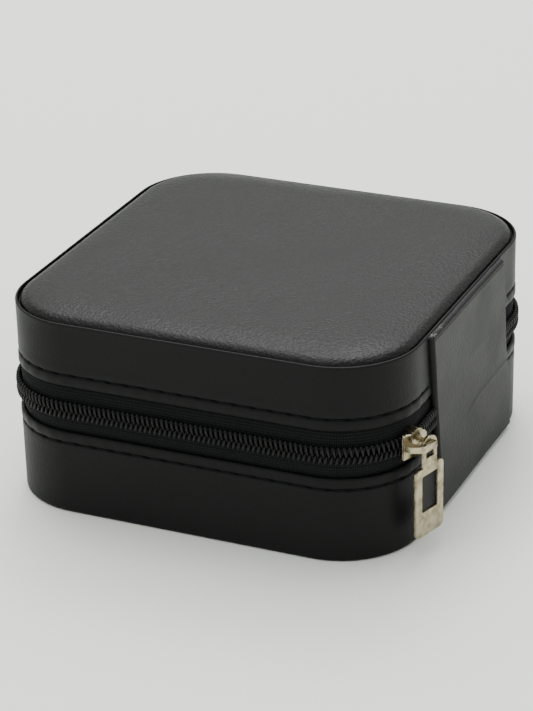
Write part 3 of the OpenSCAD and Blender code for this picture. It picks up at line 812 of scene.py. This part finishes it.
class CASE_OT_coils(bpy.types.Operator):
    """The two rows of the coil and the thread that sews them down"""

    bl_idname = "jewel_case.coils"
    bl_label = "Zip coil"

    def execute(self, context):
        k = sizes()
        nylon = finish("dyed_nylon_monofilament")
        thread = finish("bonded_polyester_thread")
        for name, way, begin, end, body, nodes in (
            ("lower_row", -1, 0, 1, "base", ["lower_coil", "lower_coil_ends"]),
            ("upper_row_right", 1, 0, 0.5, None, ["upper_coil_ends"]),
            ("upper_row_left", 1, 0.5, 1, "lid", ["upper_coil"]),
        ):
            coil = self.coil(name, way, k, begin, end)
            row = add_piece(name, coil, nylon, body, nodes)
            sewn = self.sewing(name + "_thread", way, k, begin, end)
            held = add_piece(name + "_thread", sewn, thread, body)
            if body is None:
                ride_lid_half(row)
                ride_lid_half(held)
        return {"FINISHED"}

    @staticmethod
    def coil(name, way, k, begin, end):
        """A flattened helix along the zip: each turn crosses the outside from the tape's
        side to the middle, loops round its head there, and goes back behind. The two rows
        turn opposite ways, as a herringbone, and are half a turn out of step, so that each
        head lies between two of the other row. The strand is pressed wide away from its
        head."""
        first, last = zip_ends(k)
        turns = int((last - first) / k.tooth_pitch)
        steps = 18
        part = int(turns * begin) * steps, int(turns * end) * steps
        theta = np.arange(part[0], part[1] + 1) * 2 * math.pi / steps
        shift = 0 if way > 0 else k.tooth_pitch / 2
        s = first + shift + k.tooth_pitch * theta / (2 * math.pi)
        top, head = 2.25, -0.3 - 0.22 * way
        h = (top + head) / 2 + (top - head - 2 * k.tooth) / 2 * np.cos(theta)
        deep = 1.5 / 2 - k.tooth
        side = -np.sin(theta)
        flat = np.sign(side) * np.abs(side) ** 0.75
        u = COIL_OUT - 0.1 - k.tooth - deep + deep * flat
        z = ZIP_Z + way * (h + parting(s, k))
        centre = carried(s, u, z, k.corner_radius)[None]
        tangent = np.gradient(centre, axis=1)
        tangent /= np.linalg.norm(tangent, axis=-1, keepdims=True)
        _, out = outline(s, k.corner_radius)
        along = np.stack([-out[:, 1], out[:, 0], 0 * s], -1)[None]
        across = along - (along * tangent).sum(-1, keepdims=True) * tangent
        across /= np.linalg.norm(across, axis=-1, keepdims=True)
        up = np.cross(tangent, across)
        wide = 1.0 + 0.22 * smooth((h - 0.3) / 0.9)
        return tubes_mesh(name, centre, across, up, k.tooth * wide, k.tooth * 0.95, 8)

    @staticmethod
    def sewing(name, way, k, begin, end):
        """The thread that holds a row down: it rides over each turn and dips between two."""
        first, last = zip_ends(k)
        steps = int((last - first) / k.tooth_pitch) * 8
        part = max(6, steps * begin), min(steps - 6, steps * end)
        s = first + np.arange(part[0], part[1] + 1) * k.tooth_pitch / 8
        shift = 0 if way > 0 else k.tooth_pitch / 2
        phase = 2 * math.pi * (s - first - shift) / k.tooth_pitch
        u = COIL_OUT - 0.42 + 0.1 * np.cos(phase + math.pi / 2)
        z = ZIP_Z + way * (1.75 + parting(s, k))
        centre = carried(s, u, z, k.corner_radius)[None]
        _, out = outline(s, k.corner_radius)
        across = np.concatenate([out, 0 * s[:, None]], -1)[None]
        up = np.zeros_like(centre)
        up[..., 2] = 1
        return tubes_mesh(name, centre, across, up, 0.13, 0.15, 6)


class CASE_OT_slider(bpy.types.Operator):
    """Slider, bridge, puller and end stops, with their edges rounded by tumbling"""

    bl_idname = "jewel_case.slider"
    bl_label = "Slider and puller"

    def execute(self, context):
        nickel = finish("tumbled_nickel_plate")
        for node, body, slot, edge in (
            ("slider_body", "slider", "nickel", 0.32),
            ("slider_bridge", "slider", "nickel", 0.25),
            ("puller", "puller", "puller_nickel", 0.22),
            ("end_stops", "base", "nickel", 0.2),
        ):
            mesh = softened(node, edge)
            add_piece(node + "_plated", mesh, nickel, body, [node])
        return {"FINISHED"}


# ---- top and spine ----


class CASE_OT_top(bpy.types.Operator):
    """The padded top leather"""

    bl_idname = "jewel_case.top"
    bl_label = "Padded top"

    def execute(self, context):
        k = sizes()
        mesh = self.cushion("top_leather", k)
        top = add_piece(
            "top_leather", mesh, finish("coated_top_leather"), "lid",
            ["lid_top_cover"],
        )
        return {"FINISHED"}

    @staticmethod
    def height(x, y, inset, k):
        """The crown's height: a rounded edge that is a quarter of an ellipse, a long gentle
        rise, then a nearly flat top with faint hollows in the foam."""
        edge = RIM_Z - 0.9
        d = np.clip((inset - 1.05) / k.crown_width, 0, 1)
        roll = np.clip((inset - 1.05) / 2.4, 0, 1)
        shoulder = 0.57 * np.sqrt(1 - (1 - roll) ** 2) + 0.43 * (1 - (1 - d) ** 2)
        hollow = 0.10 * np.sin(x / 15 + 0.8) * np.sin(y / 12 + 0.3) + 0.05 * np.sin((x + y) / 7)
        dish = -0.12 * bump_at(np.hypot(x + 4, y - 3), 16)
        return edge + (CROWN_Z - 0.15 - edge) * shoulder + (hollow + dish) * smooth(d * 1.2)

    @classmethod
    def cushion(cls, name, k):
        """A shell of nested outlines: rings shrink from the edge to a pole in the middle,
        once for the outside and once, a leather's thickness lower, for the inside."""
        total = outline_length(k.corner_radius)
        s = np.linspace(0, total, 520, endpoint=False)
        first, last = 1.05, 17.5
        near = first + (last - first) * np.linspace(0, 1, 58) ** 1.7
        thick = 0.8
        rings = []
        for inset in near:
            rings.append(carried(s, 0 * s - inset, 0 * s, k.corner_radius)[:, :2])
        inner_ring = rings[-1]
        for share in np.linspace(1, 0, 34)[1:-1]:
            rings.append(inner_ring * share)
        flat = np.stack(rings)
        ring_inset = np.concatenate([near, np.full(32, last)])[:, None]
        z = cls.height(flat[..., 0], flat[..., 1], ring_inset, k)
        outside = np.concatenate([flat, z[..., None]], -1)
        tuck = np.linspace(0.1, 1, 4)
        skirt = np.stack([
            carried(s, 0 * s - first - 0.4 * t, 0 * s + RIM_Z - 0.9 - 0.2 * t, k.corner_radius)
            for t in tuck
        ])
        inside = outside[:, :, :].copy()
        inside[..., 2] = np.maximum(outside[..., 2] - thick, SKIN_Z + 0.03)
        inside[..., :2] *= 1 - 1.5 * thick / HALF_D
        grid = np.concatenate([outside[::-1], skirt, inside], 0)
        rows, columns = grid.shape[:2]
        points = grid.reshape(-1, 3)
        poles = np.array([grid[0].mean(0), grid[-1].mean(0)])
        faces = grid_faces(rows, columns, wrap_columns=True)
        here = np.arange(columns)
        after = np.roll(here, -1)
        last_row = (rows - 1) * columns
        count = rows * columns
        faces += [(count, a, b) for a, b in zip(here.tolist(), after.tolist())]
        faces += [
            (count + 1, last_row + b, last_row + a) for a, b in zip(here.tolist(), after.tolist())
        ]
        return make_mesh(name, np.vstack([points, poles]), faces)


class CASE_OT_spine(bpy.types.Operator):
    """The leather spine panel that is the lid's hinge"""

    bl_idname = "jewel_case.spine"
    bl_label = "Spine"

    def execute(self, context):
        mesh = self.panel("spine_leather")
        spine = add_piece(
            "spine_leather", mesh, finish("coated_spine_leather"), None,
            ["spine_cover"],
        )
        self.bend(spine)
        velvet = softened("spine_lining", 0.1, 2)
        split = bmesh.new()
        split.from_mesh(velvet)
        long_edges = [e for e in split.edges if e.calc_length() > 10 * MM]
        bmesh.ops.subdivide_edges(split, edges=long_edges, cuts=24, use_grid_fill=True)
        split.to_mesh(velvet)
        split.free()
        lining = add_piece(
            "spine_velvet", velvet, finish("flocked_velvet"), None, ["spine_lining"]
        )
        self.bend(lining)
        return {"FINISHED"}

    @staticmethod
    def bend(piece):
        """The piece's placement is baked into its mesh; it rides on no body."""
        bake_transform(piece)

    @staticmethod
    def panel(name):
        """A slab with slanted sides. Its face rounds off to the wall along all four edges.
        A soft ridge runs along the base's hem, where the leather folds, and dies out towards
        the right; a groove under the top edge parts the leather from its stiffener."""
        lean = 7.0
        width = SPINE_HIGH[0] - SPINE_LOW[0] - lean
        z_low, z_high = SPINE_LOW[2], SPINE_HIGH[2]
        a = np.linspace(-1, 1, 150)
        b = np.linspace(-1, 1, 170)
        a = np.sin(a * math.pi / 2)
        b = np.sin(b * math.pi / 2)
        b, a = np.meshgrid(b, a, indexing="ij")
        z = (z_low + z_high) / 2 + b * (z_high - z_low) / 2
        centre = (SPINE_LOW[0] + width / 2) + lean * (b + 1) / 2
        rag = 0.12 * np.sin(z / 5.1 + 1) + 0.08 * np.sin(z / 2.3)
        x = centre + a * (width / 2 - 0.15) + rag * np.sign(a) * np.abs(a) ** 6
        thick = SPINE_HIGH[1] - HALF_D
        from_side = (1 - np.abs(a)) * width / 2
        from_end = (1 - np.abs(b)) * (z_high - z_low) / 2
        side = np.clip(from_side / 0.9, 0, 1)
        end = np.clip(from_end / 0.8, 0, 1)
        round_side = np.sqrt(1 - (1 - side) ** 2)
        round_end = np.sqrt(1 - (1 - end) ** 2)
        fold_z = BASE_Z - 1.2 - 2.2 * smooth((x + 6) / 12)
        fold = 0.11 * bump_at(z - fold_z, 0.45) * smooth((8 - x) / 14)
        soft = 0.05 * bump_at(z - fold_z - 1.6, 1.3) * smooth((14 - x) / 20)
        wrinkle = 0.05 * bump_at(z - LID_Z + 0.03 * (x + 4) ** 2 / 3, 0.8) * bump_at(x + 6, 9)
        sag = -0.05 * bump_at(z - ZIP_Z, 7) + 0.04 * np.sin(x / 6 + z / 9)
        layers = -0.16 * bump_at(z - z_high + 1.0, 0.14)
        relief = fold - soft + wrinkle + sag + layers
        y = HALF_D + (thick - 0.14) * round_side * round_end + relief * round_side
        y = np.minimum(y, HALF_D + thick)
        front = np.stack([x, y, z], -1)
        back = np.stack([x, 0 * x + HALF_D + 0.02, z], -1)
        return slab_mesh(name, front, back)


# ---- inside ----


class CASE_OT_linings(bpy.types.Operator):
    """Velvet linings and dividers, boards, and the small leather and metal fittings"""

    bl_idname = "jewel_case.linings"
    bl_label = "Linings and fittings"

    def execute(self, context):
        velvet, board = finish("flocked_velvet"), finish("pressed_fibreboard")
        leather, nickel = finish("coated_wall_leather"), finish("tumbled_nickel_plate")
        for node, body, edge in (
            ("base_wall_lining", "base", 0.2),
            ("lid_wall_lining", "lid", 0.2),
            ("long_divider", "base", 0.6),
            ("front_divider", "base", 0.6),
            ("back_divider", "base", 0.6),
        ):
            soft = softened(node, edge, 4, ring=node.endswith("lining"))
            add_piece(node + "_velvet", soft, velvet, body, [node])
        for node, body, slot, edge, material in (
            ("strap_anchors", "lid", "strap_leather", 0.3, leather),
            ("snap_studs", "lid", "nickel", 0.2, nickel),
        ):
            add_piece(node + "_finished", softened(node, edge), material, body, [node])
        for node in sorted(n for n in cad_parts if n.startswith("necklace_strap_")):
            number = node.rsplit("_", 1)[1]
            body = "strap_" + number
            add_piece(node + "_soft", softened(node, 0.25), leather, body, [node])
            cap = "snap_cap_" + number
            add_piece(cap + "_plated", softened(cap, 0.3), nickel, body, [cap])
        plain = {
            "base_floor_lining": velvet, "lid_panel_lining": velvet,
            "base_bottom_cover": leather, "lid_top_foam": board,
        }
        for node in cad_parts:
            if "board" in node or node.endswith("inner_wall"):
                plain[node] = board
        plain["lid_top_board"] = leather
        for node, material in plain.items():
            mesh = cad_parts[node].data
            mesh.materials.clear()
            mesh.materials.append(material)
        return {"FINISHED"}


class CASE_OT_rolls(bpy.types.Operator):
    """Velvet-covered foam ring rolls"""

    bl_idname = "jewel_case.rolls"
    bl_label = "Ring rolls"

    def execute(self, context):
        velvet = finish("flocked_velvet")
        rolls = sorted(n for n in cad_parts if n.startswith("ring_roll_"))
        for number, node in enumerate(rolls):
            mesh = self.roll(node + "_velvet", node, number)
            roll = add_piece(node + "_velvet", mesh, velvet, "base", [node])
        return {"FINISHED"}

    @staticmethod
    def roll(name, node, number):
        """A foam roll: its section is round on top and square at the foot, both quarters of
        superellipses, and it rounds off towards its two ends. Where the tray's corner is
        round, the roll is held to a circle about that corner's centre."""
        low, high = box_mm(node)
        half_x, half_y = (high[0] - low[0]) / 2, (high[1] - low[1]) / 2
        mid = (low + high) / 2
        a = np.sin(np.linspace(-1, 1, 60) * math.pi / 2)[:, None]
        angle = np.linspace(0, 2 * math.pi, 72, endpoint=False)
        c, s = np.cos(angle), np.sin(angle)
        power = np.where(s > 0, 2.1, 7.0)
        size = (np.abs(c) ** power + np.abs(s) ** power) ** (-1 / power)
        height = high[2] - low[2]
        foot, above = height * 0.55, height * 0.45
        end = (1 - np.abs(a) ** 9) ** (1 / 9)
        x = mid[0] + half_x * 0.995 * a + 0 * angle
        waver = 1 + 0.012 * np.sin(a * 9 + number * 1.7) * (s > 0)
        y = mid[1] + half_y * 0.985 * size * c * end
        z = low[2] + foot + np.where(s > 0, above, foot) * size * s * end * waver
        z = np.minimum(z, high[2])
        reach_x, reach_y = box_mm("base_floor_lining")[1][:2] - 0.9
        corner = 14.4
        over = np.clip(np.abs(x) - (reach_x - corner), 0, corner * 0.999)
        limit = reach_y - corner + np.sqrt(corner**2 - over**2)
        y = np.clip(y, -limit, limit)
        return grid_mesh(name, np.stack([x, y, z], -1), wrap_columns=True)


class CASE_OT_pocket(bpy.types.Operator):
    """The gathered velvet pocket in the lid and its elastic mouth"""

    bl_idname = "jewel_case.pocket"
    bl_label = "Lid pocket"

    def execute(self, context):
        velvet = finish("flocked_velvet")
        mesh, flat, area = self.gathered("pocket_cloth")
        hem_mesh = self.hem("pocket_hem")
        pocket = add_piece("pocket_cloth", mesh, velvet, "lid", ["lid_pocket"])
        hem = add_piece("pocket_hem", hem_mesh, velvet, "lid", ["pocket_elastic"])
        return {"FINISHED"}

    @staticmethod
    def folds(x, share):
        """The gathers: uneven waves across the mouth, which fade towards the sewn back."""
        wave = np.sin(x / 0.95 + 0.7 * np.sin(x / 6)) + 0.4 * np.sin(x / 0.53 + 1)
        return 0.42 * wave * (1 - 0.8 * smooth(share))

    @classmethod
    def gathered(cls, name):
        low, high = box_mm("lid_pocket")
        half_x = high[0] - 0.1
        v = np.linspace(0, 1, 60)[:, None]
        a = np.linspace(-1, 1, 420)[None, :]
        y = low[1] + v * (high[1] - 0.1 - low[1])
        corner, back = 14.7, high[1] - 0.1
        over = np.clip(y - (back - corner), 0, corner * 0.9999)
        x = a * (half_x - corner + np.sqrt(corner**2 - over**2))
        belly = -0.9 * np.sin(math.pi * np.clip(v * 0.9 + 0.08, 0, 1)) * (1 - a**4)
        z = (low[2] + high[2]) / 2 + cls.folds(x, v) + belly + 0 * x
        y = y + 0 * x
        surface = np.stack([x, y, z], -1)
        down = np.gradient(surface, axis=0)
        right = np.gradient(surface, axis=1)
        area = np.linalg.norm(np.cross(down[:-1, :-1], right[:-1, :-1]), axis=-1).sum()
        mouth = np.linalg.norm(np.diff(surface[0], axis=0), axis=-1).sum()
        depth = np.linalg.norm(np.diff(surface[:, 210], axis=0), axis=-1).sum()
        half = np.array([0, 0, 0.22])
        mesh = slab_mesh(name, surface - half, surface + half)
        return mesh, (mouth * MM, depth * MM), area * MM * MM

    @classmethod
    def hem(cls, name):
        """The elastic's casing: a soft tube along the mouth, ruffled by the gathers."""
        low, high = box_mm("pocket_elastic")
        x = np.linspace(low[0] + 0.05, high[0] - 0.05, 620)
        mid_y, mid_z = (low[1] + high[1]) / 2, (low[2] + high[2]) / 2
        z = mid_z + 0.6 * cls.folds(x, np.array(0.0))
        centre = np.stack([x, 0 * x + mid_y + 0.1 * np.sin(x / 1.7), z], -1)[None]
        across = np.zeros_like(centre)
        across[..., 1] = 1
        up = np.zeros_like(centre)
        up[..., 2] = 1
        radius = 0.75 + 0.16 * np.sin(x / 0.62 + np.sin(x / 4))
        return tubes_mesh(name, centre, across, up, radius, radius * 1.05, 12)


# ---- stage ----

CAMERA_TARGET = (1.187, -1.281, 23.805)
CAMERA_AWAY = 628.74
CAMERA_AZIMUTH = 114.198
CAMERA_ELEVATION = 25.009
CAMERA_ROLL = -1.332
CAMERA_LENS = 132.68


def aim(position, target):
    """A rotation that looks from position to target, with Z upwards."""
    return (Vector(target) - Vector(position)).to_track_quat("-Z", "Y")


def direction(azimuth, elevation):
    """The unit vector from the object towards a viewer at these angles in degrees."""
    a, e = math.radians(azimuth), math.radians(elevation)
    return Vector((math.sin(a) * math.cos(e), -math.cos(a) * math.cos(e), math.sin(e)))


def area_light(name, azimuth, elevation, away, size, power):
    """A square soft white light that faces the case."""
    data = bpy.data.lights.new(name, "AREA")
    data.shape = "SQUARE"
    data.size = size
    data.energy = power
    light = bpy.data.objects.new(name, data)
    light.location = direction(azimuth, elevation) * away
    light.rotation_euler = aim(light.location, (0, 0, 0.02)).to_euler()
    bpy.context.scene.collection.objects.link(light)


FLOOR_HALF = 4.0  # metres
SKY = (0.96, 0.99, 0.95, 1)
# name, azimuth and elevation in degrees, distance and size in metres, power in watts
LIGHTS = (
    ("window", 294, 62, 1.3, 1.2, 15),
    ("low_window", 291, 50, 1.5, 0.4, 4.6),
    ("ceiling", 20, 80, 1.2, 0.9, 4.3),
)


class CASE_OT_stage(bpy.types.Operator):
    """Pale floor, soft light and the camera"""

    bl_idname = "jewel_case.stage"
    bl_label = "Stage"

    def execute(self, context):
        scene = context.scene
        data = bpy.data.cameras.new("case_camera")
        data.lens = CAMERA_LENS
        data.sensor_width = 36
        data.clip_start = 0.01
        camera = bpy.data.objects.new("case_camera", data)
        away = direction(CAMERA_AZIMUTH, CAMERA_ELEVATION) * CAMERA_AWAY * MM
        camera.location = Vector(CAMERA_TARGET) * MM + away
        look = aim(camera.location, Vector(CAMERA_TARGET) * MM).to_matrix()
        roll = Matrix.Rotation(math.radians(CAMERA_ROLL), 3, "Z")
        camera.rotation_euler = (look @ roll).to_euler()
        scene.collection.objects.link(camera)
        scene.camera = camera
        side = FLOOR_HALF
        corners = [(-side, -side, 0), (side, -side, 0), (side, side, 0), (-side, side, 0)]
        floor = bpy.data.meshes.new("floor")
        floor.from_pydata(corners, [], [(0, 1, 2, 3)])
        paper, tree, shader, place = start("pale_floor_paper", tuple(colours().floor), 0.6)
        shade = add(tree, "ShaderNodeTexNoise", {"Scale": 40.0, "Detail": 3}, Vector=place)
        bump = add(
            tree, "ShaderNodeBump", {"Strength": 0.05, "Distance": 0.1 * MM},
            Height=shade.outputs["Fac"],
        )
        tree.links.new(bump.outputs["Normal"], shader.inputs["Normal"])
        floor.materials.append(paper)
        stage = bpy.data.objects.new("floor", floor)
        scene.collection.objects.link(stage)
        world = bpy.data.worlds.new("soft_room")
        world.use_nodes = True
        sky = world.node_tree.nodes["Background"]
        sky.inputs["Color"].default_value = SKY
        sky.inputs["Strength"].default_value = 1.0
        scene.world = world
        for light in LIGHTS:
            area_light(*light)
        return {"FINISHED"}


# ---- add-on ----

PIECES = (
    CASE_OT_stage, CASE_OT_walls, CASE_OT_stitches, CASE_OT_tapes, CASE_OT_coils,
    CASE_OT_slider, CASE_OT_top, CASE_OT_spine, CASE_OT_linings, CASE_OT_rolls, CASE_OT_pocket,
)


class CASE_PT_panel(bpy.types.Panel):
    """Buttons for every piece of the case"""

    bl_label = "Jewellery case"
    bl_idname = "CASE_PT_panel"
    bl_space_type = "VIEW_3D"
    bl_region_type = "UI"
    bl_category = "Case"

    def draw(self, context):
        for group in (context.scene.case_sizes, context.scene.case_colours):
            for name in group.__annotations__:
                self.layout.prop(group, name)
        for piece in PIECES:
            self.layout.operator(piece.bl_idname)


CLASSES = (CaseSizes, CaseColours, *PIECES, CASE_PT_panel)


def register():
    for each in CLASSES:
        bpy.utils.register_class(each)
    bpy.types.Scene.case_sizes = bpy.props.PointerProperty(type=CaseSizes)
    bpy.types.Scene.case_colours = bpy.props.PointerProperty(type=CaseColours)


def unregister():
    del bpy.types.Scene.case_colours
    del bpy.types.Scene.case_sizes
    for each in reversed(CLASSES):
        bpy.utils.unregister_class(each)


def main():
    """Builds every piece."""
    register()
    for piece in PIECES:
        group, action = piece.bl_idname.split(".")
        getattr(getattr(bpy.ops, group), action)()


if __name__ == "__main__":
    main()
